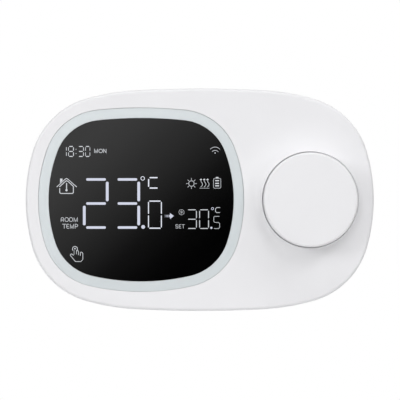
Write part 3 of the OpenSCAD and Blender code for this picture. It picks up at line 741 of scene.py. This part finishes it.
LETTER = {
    "M": [[(0, 1), (0, 0), (0.5, 1), (1, 0), (1, 1)]],
    "O": [[(0.3, 0), (0.7, 0), (1, 0.25), (1, 0.75), (0.7, 1), (0.3, 1), (0, 0.75), (0, 0.25), (0.3, 0)]],
    "N": [[(0, 1), (0, 0), (1, 1), (1, 0)]],
    "R": [[(0, 1), (0, 0.25), (0.3, 0), (0.75, 0), (1, 0.2), (1, 0.5), (0.75, 0.62), (0, 0.62)], [(0.7, 0.66), (1, 1)]],
    "T": [[(0, 0), (1, 0)], [(0.5, 0.12), (0.5, 1)]],
    "E": [[(1, 0), (0.3, 0), (0, 0.2), (0, 0.8), (0.3, 1), (1, 1)], [(0.15, 0.5), (0.85, 0.5)]],
    "P": [[(0, 1), (0, 0), (0.7, 0), (1, 0.18), (1, 0.42), (0.7, 0.6), (0.15, 0.6)]],
    "S": [[(1, 0.15), (0.75, 0), (0.25, 0), (0, 0.2), (0.15, 0.42), (0.85, 0.58), (1, 0.8), (0.75, 1), (0.25, 1), (0, 0.85)]],
}
BOLD, FINE = 2.5, 0.78


def display_marks():
    made = {}
    # room temperature, 23.0 degrees
    m = Marks()
    for x0, x1 in ((86.2, 105.9), (117.6, 137.2)):
        for y in (179.45, 203.5, 227.5):
            m.seg(x0, y, x1, y, BOLD)
    for x, y0, y1 in ((107.25, 181.7, 201.3), (84.3, 205.7, 225.3), (138.7, 181.7, 201.3), (138.7, 205.7, 225.3)):
        m.seg(x, y0, x, y1, BOLD + 0.25)
    m.disc(143.15, 226.9, 1.88)
    made["display_room_temperature"] = m
    m = Marks()
    m.digit("bcef", 148.48, 201.1, 161.35, 228.15, 0.95, 0.75, 0.8)
    m.digit("ad", 148.48, 201.1, 161.35, 228.15, 1.1, 0.75, 0.8)
    m.loop_ring(142.7, 178.4, 1.8, 0.62)
    m.seg(149.5, 177.65, 157.6, 177.65, 1.2)
    m.seg(148.62, 178.9, 148.62, 186.9, 1.15)
    m.seg(149.5, 188.05, 157.6, 188.05, 1.2)
    made["display_room_tenths"] = m
    # set temperature, 30.5 degrees
    m = Marks()
    for y in (209.78, 219.2, 228.45):
        m.seg(188.1, y, 195.7, y, FINE)
    for y in (209.78, 228.45):
        m.seg(200.2, y, 207.9, y, FINE)
    for x in (196.4, 199.57, 208.49):
        for y0, y1 in ((210.8, 218.2), (220.1, 227.5)):
            m.seg(x, y0, x, y1, FINE)
    m.stroke([(219.2, 216.33), (214.6, 216.33), (213.73, 217.3), (213.73, 221.3), (214.8, 222.46), (218.5, 222.46), (219.61, 223.6), (219.61, 227.3), (218.7, 228.54), (214.2, 228.54)], 0.43)
    m.stroke([(219.8, 207.55), (216.6, 207.55), (215.45, 208.8), (215.4, 211.3), (216.4, 212.55), (219.6, 212.55)], 0.55)
    m.letters("SET", [(175.6, 177.9), (179.0, 181.0), (182.0, 184.5)], 224.6, 228.2, 0.38)
    m.loop_ring(181.45, 212.2, 2.7, 0.24)
    for k in range(3):
        a = math.radians(30 + 60 * k)
        c, d = 2.4 * math.cos(a), 2.4 * math.sin(a)
        m.stroke([(181.45 - c, 212.2 + d), (181.45 + c, 212.2 - d)], 0.2, caps=False)
    made["display_set_temperature"] = m
    m = Marks()
    m.disc(211.3, 227.8, 1.06, 16)
    m.loop_ring(212.45, 208.6, 1.1, 0.5)
    # arrow with a shaft of bars that grow towards the head
    for x0, x1 in ((165.0, 165.25), (166.15, 166.55), (167.45, 168.05), (168.85, 169.7)):
        m.shape([grid(x0, 217.2), grid(x1, 217.2), grid(x1, 214.8), grid(x0, 214.8)])
    m.shape([grid(170.0, 213.1), grid(173.8, 216.0), grid(170.0, 218.9)])
    made["display_set_symbols"] = m
    # clock and day
    m = Marks()
    for y0, y1 in ((146.9, 150.8), (152.0, 156.0)):
        m.seg(66.4, y0 + 0.2, 66.4, y1 - 0.1, 0.55)
        m.seg(68.55, y0 + 0.4, 68.55, y1, 0.62)
        m.seg(73.5, y0 + 0.4, 73.5, y1, 0.78)
        m.seg(83.5, y0 + 0.4, 83.5, y1, 0.67)
        m.seg(85.5, y0 + 0.4, 85.5, y1, 0.55)
        m.seg(89.9, y0 + 0.4, 89.9, y1, 0.55)
    for x0, x1, ys in ((69.2, 72.9, (146.5, 151.45, 156.45)), (79.0, 82.8, (146.5, 151.45, 156.45)), (86.0, 89.3, (146.5, 156.45))):
        for y in ys:
            m.seg(x0, y, x1, y, 0.88)
    m.disc(76.0, 149.3, 0.42, 12)
    m.disc(76.0, 153.5, 0.42, 12)
    m.letters("MON", [(94.5, 97.6), (98.9, 102.4), (103.5, 106.1)], 149.2, 152.7, 0.52)
    made["display_clock"] = m
    # radio signal
    m = Marks()
    m.arc(215.0, 153.5, 6.4, 42, 138, 0.45)
    m.arc(215.1, 154.5, 4.1, 44, 136, 0.45, 9)
    m.disc(215.1, 153.0, 0.6, 16)
    made["display_signal"] = m
    # sun, heating, battery
    m = Marks()
    m.loop_ring(191.4, 183.55, 2.75, 0.5)
    for k in range(8):
        a = math.pi / 4 * k
        m.stroke([(191.4 + r * math.cos(a), 183.55 + r * math.sin(a)) for r in (3.6, 5.2)], 0.42)
    for x in (200.9, 204.2, 207.5):
        m.stroke([(x, 180.9), (x + 0.25, 181.8), (x + 1.35, 183.3), (x + 1.65, 184.4), (x + 1.2, 185.6), (x - 0.1, 187.0)], 0.45)
        m.shape([grid(x - 1.3, 179.6), grid(x, 178.6), grid(x + 1.3, 179.6), grid(x, 180.6)])
    m.stroke([(199.7, 188.2), (209.1, 188.2)], 0.32)
    m.stroke([(214.8, 178.5), (213.9, 178.7), (213.4, 179.4), (213.4, 187.2), (214.3, 188.2), (219.9, 188.2), (220.75, 187.2), (220.75, 179.4), (220.2, 178.7), (219.2, 178.5)], 0.38)
    m.shape([grid(215.1, 178.5), grid(219.0, 178.5), grid(218.0, 177.0), grid(216.2, 177.0)])
    for y in (180.65, 183.4, 185.8):
        m.shape([grid(215.1, y - 0.57), grid(219.0, y - 0.57), grid(219.0, y + 0.57), grid(215.1, y + 0.57)])
    made["display_mode_icons"] = m
    # house with a thermometer, and its words
    m = Marks()
    m.stroke([(57.0, 186.8), (65.2, 179.2), (66.5, 178.5), (67.9, 179.2), (76.6, 186.8)], 0.7)
    m.stroke([(59.7, 186.7), (65.3, 181.5), (66.5, 180.7), (67.9, 181.3), (73.4, 186.4), (73.4, 192.6), (72.4, 193.48), (60.7, 193.48), (59.75, 192.6), (59.75, 188.5)], 0.78)
    m.shape([grid(60.1, 178.6), grid(62.5, 178.6), grid(62.5, 180.7), grid(60.1, 183.0)])
    m.seg(66.6, 182.9, 66.6, 189.3, 0.95)
    m.disc(66.55, 190.2, 1.1, 16)
    m.letters("ROOM", [(61.1, 63.7), (65.0, 68.4), (69.3, 72.7), (74.0, 77.5)], 217.6, 221.5, 0.47)
    m.letters("TEMP", [(62.5, 66.1), (66.7, 68.9), (70.3, 73.7), (75.2, 77.7)], 224.2, 228.3, 0.5)
    made["display_room_icons"] = m
    # touch mark: a pointing hand
    m = Marks()
    m.arc(75.0, 248.9, 2.5, -20, 215, 0.62, 20)
    m.disc(75.0, 248.6, 0.75, 12)
    m.stroke([(74.1, 250.2), (74.1, 254.6)], 0.38)
    m.stroke([(77.5, 249.9), (76.5, 250.6), (76.4, 254.0)], 0.5)
    m.stroke([(76.8, 250.8), (78.2, 250.8), (78.55, 251.6), (78.5, 254.9)], 0.5)
    m.stroke([(80.4, 255.4), (80.4, 252.6), (81.2, 252.1), (82.2, 252.4), (82.85, 253.5), (82.85, 259.4), (80.9, 261.5), (75.4, 261.5), (70.3, 255.2), (70.4, 254.6), (71.2, 253.9), (72.2, 254.1), (73.7, 255.4)], 0.54)
    made["display_touch_icon"] = m
    return [k.piece(n) for n, k in made.items()]


marks = display_marks()


# ---------------------------------------------------------------- materials
def tree(name):
    m = bpy.data.materials.new(name)
    m.use_nodes = True
    nt = m.node_tree
    nt.nodes.clear()
    out = nt.nodes.new("ShaderNodeOutputMaterial")
    b = nt.nodes.new("ShaderNodeBsdfPrincipled")
    nt.links.new(b.outputs[0], out.inputs[0])
    coord = nt.nodes.new("ShaderNodeTexCoord")
    return m, nt, b, coord.outputs["Object"]


def noise(nt, coord, size, detail=2.0, rough=0.5, stretch=None):
    """Noise whose features are about size metres across."""
    src = coord
    if stretch is not None:
        mp = nt.nodes.new("ShaderNodeMapping")
        mp.inputs["Scale"].default_value = stretch
        nt.links.new(coord, mp.inputs["Vector"])
        src = mp.outputs[0]
    t = nt.nodes.new("ShaderNodeTexNoise")
    t.inputs["Scale"].default_value = 1 / size
    t.inputs["Detail"].default_value = detail
    t.inputs["Roughness"].default_value = rough
    nt.links.new(src, t.inputs["Vector"])
    return t.outputs["Fac"]


def shade(rgb, k):
    return (rgb[0] * k, rgb[1] * k, rgb[2] * k, 1.0)


def ramp(nt, fac, lo, hi, a=0.3, b=0.7):
    r = nt.nodes.new("ShaderNodeValToRGB")
    r.color_ramp.elements[0].position, r.color_ramp.elements[0].color = a, lo
    r.color_ramp.elements[1].position, r.color_ramp.elements[1].color = b, hi
    nt.links.new(fac, r.inputs[0])
    return r.outputs[0]


def spread(nt, fac, lo, hi, a=0.3, b=0.7):
    r = nt.nodes.new("ShaderNodeMapRange")
    for k, v in (("From Min", a), ("From Max", b), ("To Min", lo), ("To Max", hi)):
        r.inputs[k].default_value = v
    nt.links.new(fac, r.inputs["Value"])
    return r.outputs["Result"]


def bump(nt, b, height, depth, strength=1.0, normal=None):
    n = nt.nodes.new("ShaderNodeBump")
    n.inputs["Distance"].default_value = depth
    n.inputs["Strength"].default_value = strength
    nt.links.new(height, n.inputs["Height"])
    if normal is not None:
        nt.links.new(normal, n.inputs["Normal"])
    nt.links.new(n.outputs[0], b.inputs["Normal"])


def rounded(nt, radius):
    """Softens sharp CAD edges in the shading."""
    n = nt.nodes.new("ShaderNodeBevel")
    n.samples = 4
    n.inputs["Radius"].default_value = radius
    return n.outputs[0]


def moulded(name, rgb, rough, grain=0.00035, depth=2.5e-6, vary=0.012, edge=0.0, spec=0.5, cloud=0.03):
    """Injection-moulded plastic: fine spark-eroded grain, faint flow variation."""
    m, nt, b, co = tree(name)
    big = noise(nt, co, cloud, 2, 0.5)
    nt.links.new(ramp(nt, big, shade(rgb, 1 - vary), shade(rgb, 1 + vary)), b.inputs["Base Color"])
    fine = noise(nt, co, grain, 3, 0.6)
    nt.links.new(spread(nt, fine, rough - 0.04, rough + 0.05), b.inputs["Roughness"])
    b.inputs["Specular IOR Level"].default_value = spec
    bump(nt, b, fine, depth, 1.0, rounded(nt, edge) if edge else None)
    return m


def metal(name, rgb, rough, size=0.0008, stretch=None, depth=1.5e-6, edge=0.0001):
    m, nt, b, co = tree(name)
    f = noise(nt, co, size, 3, 0.6, stretch)
    nt.links.new(ramp(nt, f, shade(rgb, 0.86), shade(rgb, 1.0)), b.inputs["Base Color"])
    nt.links.new(spread(nt, f, rough - 0.08, rough + 0.1), b.inputs["Roughness"])
    b.inputs["Metallic"].default_value = 1.0
    bump(nt, b, f, depth, 1.0, rounded(nt, edge))
    return m


WHITE = (0.808, 0.806, 0.824)

mat = {}
mat["white_shell"] = moulded("white_shell", WHITE, 0.5)
mat["white_knob"] = moulded("white_knob", WHITE, 0.5)
mat["white_plate"] = moulded("white_plate", (0.775, 0.773, 0.775), 0.55, grain=0.0005, depth=5e-6, edge=0.0002)
mat["white_frame"] = moulded("white_frame", (0.72, 0.72, 0.69), 0.5, edge=0.00015)
mat["black_tape"] = moulded("black_tape", (0.02, 0.02, 0.02), 0.7)
mat["elastomer"] = moulded("elastomer", (0.42, 0.1, 0.09), 0.75, grain=0.0002, depth=4e-6)
mat["chip_black"] = moulded("chip_black", (0.022, 0.022, 0.024), 0.45, edge=0.0001)
mat["sensor_black"] = moulded("sensor_black", (0.015, 0.015, 0.017), 0.3)
mat["shield_tin"] = metal("shield_tin", (0.66, 0.66, 0.64), 0.35)
mat["antenna_brass"] = metal("antenna_brass", (0.78, 0.56, 0.28), 0.3)
mat["can_aluminium"] = metal("can_aluminium", (0.7, 0.71, 0.73), 0.32, 0.001, (1, 1, 0.15))
mat["spring_steel"] = metal("spring_steel", (0.62, 0.62, 0.6), 0.28, 0.0006)
mat["shaft_metal"] = metal("shaft_metal", (0.68, 0.68, 0.67), 0.25, 0.0005, (1, 0.1, 1))
mat["screw_steel"] = metal("screw_steel", (0.5, 0.5, 0.5), 0.3, 0.0005)


def glass_material():
    """Black-backed window: deep black with a hard glossy front."""
    m, nt, b, co = tree("black_window")
    f = noise(nt, co, 0.02, 2, 0.5)
    nt.links.new(ramp(nt, f, (0.0006, 0.0006, 0.0007, 1), (0.0009, 0.0009, 0.0010, 1)), b.inputs["Base Color"])
    fine = noise(nt, co, 0.004, 2, 0.5)
    nt.links.new(spread(nt, fine, 0.02, 0.035), b.inputs["Roughness"])
    b.inputs["IOR"].default_value = 1.5
    return m


def guide_material():
    """Frosted translucent light guide."""
    m, nt, b, co = tree("light_guide")
    f = noise(nt, co, 0.012, 2, 0.5)
    rgb = (0.670, 0.714, 0.732)
    nt.links.new(ramp(nt, f, shade(rgb, 0.992), shade(rgb, 1.008)), b.inputs["Base Color"])
    fine = noise(nt, co, 0.0006, 2, 0.5)
    nt.links.new(spread(nt, fine, 0.2, 0.27), b.inputs["Roughness"])
    b.inputs["IOR"].default_value = 1.49
    b.inputs["Subsurface Weight"].default_value = 0.25
    b.inputs["Subsurface Scale"].default_value = 0.0012
    b.inputs["Subsurface Radius"].default_value = (0.9, 1.0, 1.0)
    bump(nt, b, fine, 1e-6)
    return m


def board_material():
    """Solder mask with darker tracks under it."""
    m, nt, b, co = tree("board_green")
    t = nt.nodes.new("ShaderNodeTexBrick")
    t.inputs["Scale"].default_value = 260
    t.inputs["Mortar Size"].default_value = 0.012
    t.inputs["Color1"].default_value = (0.02, 0.13, 0.06, 1)
    t.inputs["Color2"].default_value = (0.018, 0.115, 0.055, 1)
    t.inputs["Mortar"].default_value = (0.03, 0.2, 0.09, 1)
    mp = nt.nodes.new("ShaderNodeMapping")
    mp.inputs["Rotation"].default_value = (math.pi / 2, 0, 0)
    nt.links.new(co, mp.inputs["Vector"])
    nt.links.new(mp.outputs[0], t.inputs["Vector"])
    nt.links.new(t.outputs["Color"], b.inputs["Base Color"])
    f = noise(nt, co, 0.0006, 2, 0.5)
    nt.links.new(spread(nt, f, 0.3, 0.42), b.inputs["Roughness"])
    bump(nt, b, t.outputs["Fac"], 2e-5)
    return m


def panel_material(name, lo, hi, rough):
    m, nt, b, co = tree(name)
    f = noise(nt, co, 0.006, 2, 0.5)
    nt.links.new(ramp(nt, f, lo, hi), b.inputs["Base Color"])
    fine = noise(nt, co, 0.0008, 2, 0.5)
    nt.links.new(spread(nt, fine, rough - 0.02, rough + 0.03), b.inputs["Roughness"])
    return m


def cell_material():
    """Plain cell wrap: graphite body with a copper-coloured end band, bare metal at the ends."""
    m, nt, b, co = tree("cell_wrap")
    sep = nt.nodes.new("ShaderNodeSeparateXYZ")
    nt.links.new(co, sep.inputs[0])
    r = nt.nodes.new("ShaderNodeValToRGB")
    r.color_ramp.interpolation = "CONSTANT"
    els = r.color_ramp.elements
    els[0].position, els[0].color = 0.0, (0.6, 0.6, 0.6, 1)
    els[1].position, els[1].color = 0.06, (0.045, 0.05, 0.06, 1)
    e = els.new(0.72)
    e.color = (0.55, 0.3, 0.12, 1)
    e = els.new(0.94)
    e.color = (0.6, 0.6, 0.6, 1)
    x0, x1 = BAY_X[0] * MM + 0.003, BAY_X[1] * MM - 0.003
    nt.links.new(spread(nt, sep.outputs[0], 0.0, 1.0, x0, x1), r.inputs[0])
    nt.links.new(r.outputs[0], b.inputs["Base Color"])
    f = noise(nt, co, 0.002, 2, 0.5)
    nt.links.new(spread(nt, f, 0.25, 0.35), b.inputs["Roughness"])
    b.inputs["Metallic"].default_value = 0.35
    return m


def mark_material(name, rgb):
    """Lit display segments in the window's front: cool white with slight unevenness."""
    m, nt, b, co = tree(name)
    f = noise(nt, co, 0.003, 2, 0.5)
    nt.links.new(ramp(nt, f, (*[0.98 * c for c in rgb], 1), (*[1.02 * c for c in rgb], 1)), b.inputs["Emission Color"])
    b.inputs["Emission Strength"].default_value = 1.0
    b.inputs["Base Color"].default_value = (0.03, 0.03, 0.035, 1)
    fine = noise(nt, co, 0.002, 2, 0.5)
    nt.links.new(spread(nt, fine, 0.3, 0.4), b.inputs["Roughness"])
    return m


mat["black_window"] = glass_material()
mat["light_guide"] = guide_material()
mat["board_green"] = board_material()
mat["lcd_glass"] = panel_material("lcd_glass", (0.02, 0.024, 0.026, 1), (0.026, 0.03, 0.033, 1), 0.1)
mat["diffuser"] = panel_material("diffuser", (0.8, 0.81, 0.83, 1), (0.84, 0.85, 0.87, 1), 0.4)
mat["led_white"] = panel_material("led_white", (0.78, 0.72, 0.5, 1), (0.84, 0.8, 0.6, 1), 0.35)
mat["cell_wrap"] = cell_material()

slot_of = {s["node"]: s["material_slot"] for s in frame["record"]["subparts"]}
for node, o in NODES.items():
    m = mat[slot_of[node]]
    if not o.material_slots:
        o.data.materials.append(m)
    for s in o.material_slots:
        s.material = m


def finish_piece(o, body, slot, *nodes):
    o.data.materials.clear()
    o.data.materials.append(mat[slot])
    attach(o, body)
    if nodes:
        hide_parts(*nodes)


finish_piece(cover, "unit", "white_shell", "front_cover")
finish_piece(rear, "unit", "white_shell", "rear_housing")
finish_piece(ring, "unit", "light_guide", "light_ring")
finish_piece(lens, "unit", "black_window", "display_lens")
finish_piece(knob, "knob", "white_knob", "knob_cap")
bold_marks = mark_material("display_marks_bold", (0.60, 0.625, 0.745))
clear_marks = mark_material("display_marks_clear", (0.78, 0.81, 0.9))
fine_marks = mark_material("display_marks_fine", (0.60, 0.62, 0.65))
for o in marks:
    o.data.materials.append({"display_room_temperature": bold_marks, "display_room_tenths": clear_marks,
                             "display_set_symbols": bold_marks}.get(o.name, fine_marks))
    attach(o, "unit")


# ---------------------------------------------------------------- stage, lights, camera
scene = bpy.context.scene
scene.view_settings.view_transform = "Standard"
scene.view_settings.look = "None"

DIST = 3.0
PLANE = CEIL * MM                   # height of the widest outline over the wall
VIEW_W = 0.16053                    # width of the picture at that plane
cam_data = bpy.data.cameras.new("camera")
cam_data.sensor_width = 36
cam_data.lens = 36 * DIST / VIEW_W
cam_data.clip_start, cam_data.clip_end = 0.05, 30
cam = bpy.data.objects.new("camera", cam_data)
cam.location = (0.0001, -(PLANE + DIST), -0.0001)
cam.rotation_euler = (math.pi / 2, 0, 0)
scene.collection.objects.link(cam)
scene.camera = cam


def area_light(name, direction, distance, size, power, colour=(1, 1, 1), target=(0, -0.02, 0)):
    """Soft box that looks at the object from a direction in the row frame."""
    d = Vector(direction).normalized()
    data = bpy.data.lights.new(name, "AREA")
    data.shape = "DISK"
    data.size = size
    data.energy = power
    data.color = colour
    o = bpy.data.objects.new(name, data)
    o.location = Vector(target) + d * distance
    o.rotation_euler = (-d).to_track_quat("-Z", "Y").to_euler()
    o.visible_camera = False
    scene.collection.objects.link(o)
    return o


def world_light(strength, rgb=(1, 1, 1)):
    w = bpy.data.worlds.new("studio")
    scene.world = w
    w.use_nodes = True
    nt = w.node_tree
    nt.nodes.clear()
    out = nt.nodes.new("ShaderNodeOutputWorld")
    seen = nt.nodes.new("ShaderNodeBackground")
    seen.inputs[0].default_value = (1, 1, 1, 1)
    seen.inputs[1].default_value = 1.0
    lit = nt.nodes.new("ShaderNodeBackground")
    lit.inputs[0].default_value = (*rgb, 1)
    lit.inputs[1].default_value = strength
    path = nt.nodes.new("ShaderNodeLightPath")
    mix = nt.nodes.new("ShaderNodeMixShader")
    nt.links.new(path.outputs["Is Camera Ray"], mix.inputs[0])
    nt.links.new(lit.outputs[0], mix.inputs[1])
    nt.links.new(seen.outputs[0], mix.inputs[2])
    nt.links.new(mix.outputs[0], out.inputs[0])


world_light(0.05)
# soft boxes: degrees away from the front's normal, degrees round it from the right, distance, size, power
for i, (tilt, turn, away, size, power) in enumerate([
        (80, 90, 4.2, 2.10, 57.48),
        (55, 160, 4.2, 1.31, 41.62),
        (65, 45, 4.2, 1.57, 33.90),
        (42, 67, 4.2, 1.31, 29.77),
        (42, 0, 4.2, 1.31, 17.92),
        (20, 135, 4.2, 1.05, 17.49),
        (30, 112, 4.2, 1.31, 15.99),
        (42, 157, 4.2, 1.31, 10.75),
        # fill from behind, for the back
        (130, 50, 1.0, 0.5, 2.4), (140, 150, 1.0, 0.5, 2.4), (160, 0, 1.0, 0.5, 1.6)]):
    t, p = math.radians(tilt), math.radians(turn)
    area_light("soft_box_%d" % (i + 1), (math.sin(t) * math.cos(p), -math.cos(t), math.sin(t) * math.sin(p)), away, size, power)

# floor, well under the object and out of the main picture
fs = Skin()
FLOOR_R, FLOOR_Z = 2.0, -0.35
n = 96
rim = [(FLOOR_R / MM * math.cos(2 * math.pi * k / n), FLOOR_Z / MM, -FLOOR_R / MM * math.sin(2 * math.pi * k / n)) for k in range(n)]
fs.face(rim, [(0.0, 1.0, 0.0)] * n)
floor = fs.piece("floor")
fm, fnt, fb, fco = tree("floor_pale")
fnt.links.new(ramp(fnt, noise(fnt, fco, 0.3, 2, 0.5), (0.8, 0.8, 0.8, 1), (0.83, 0.83, 0.83, 1)), fb.inputs["Base Color"])
fb.inputs["Roughness"].default_value = 0.7
floor.data.materials.append(fm)

# soft reflector card in front of the window, seen only in glossy reflections
CARD_Y, CARD_H = -0.525, 0.25
cs = Skin()
cs.face([(-CARD_H / MM, -CARD_H / MM, -CARD_Y / MM), (CARD_H / MM, -CARD_H / MM, -CARD_Y / MM),
         (CARD_H / MM, CARD_H / MM, -CARD_Y / MM), (-CARD_H / MM, CARD_H / MM, -CARD_Y / MM)], [(0.0, 0.0, -1.0)] * 4)
card = cs.piece("reflector_card")
cm = bpy.data.materials.new("card_fade")
cm.use_nodes = True
cnt = cm.node_tree
cnt.nodes.clear()
cout = cnt.nodes.new("ShaderNodeOutputMaterial")
cem = cnt.nodes.new("ShaderNodeEmission")
cnt.links.new(cem.outputs[0], cout.inputs[0])
ctc = cnt.nodes.new("ShaderNodeTexCoord")
cdot = cnt.nodes.new("ShaderNodeVectorMath")
cdot.operation = "DOT_PRODUCT"
cdot.inputs[1].default_value = (0.675, 0.0, -0.738)
cnt.links.new(ctc.outputs["Object"], cdot.inputs[0])
crm = cnt.nodes.new("ShaderNodeMapRange")
GROW = 1 + 0.5 / (DIST + 0.0)
# distances along the fade on the window, in metres from its middle, and the reflected brightness there
FADE = [(-0.0317, 0.0437), (-0.0221, 0.0369), (-0.0116, 0.0262), (-0.0084, 0.0242), (0.0084, 0.0084), (0.0120, 0.0053), (0.0229, 0.0016), (0.0313, 0.0002)]
mid = 0.675 * WIN_X * MM
lo_t, hi_t = (mid + FADE[0][0]) * GROW, (mid + FADE[-1][0]) * GROW
crm.inputs["From Min"].default_value = lo_t
crm.inputs["From Max"].default_value = hi_t
cnt.links.new(cdot.outputs["Value"], crm.inputs["Value"])
cr = cnt.nodes.new("ShaderNodeValToRGB")
els = cr.color_ramp.elements
els[0].position, els[-1].position = 0.0, 1.0
for t, v in FADE[1:-1]:
    els.new(((mid + t) * GROW - lo_t) / (hi_t - lo_t))
for e, (t, v) in zip(els, FADE):
    e.color = (min(1.0, v / 0.044), min(1.0, v / 0.044), min(1.0, v / 0.044), 1)
cnt.links.new(crm.outputs["Result"], cr.inputs[0])
cnt.links.new(cr.outputs[0], cem.inputs[0])
cem.inputs[1].default_value = 0.044 / 0.04
card.data.materials.append(cm)
for flag in ("visible_camera", "visible_diffuse", "visible_shadow", "visible_transmission", "visible_volume_scatter"):
    setattr(card, flag, False)
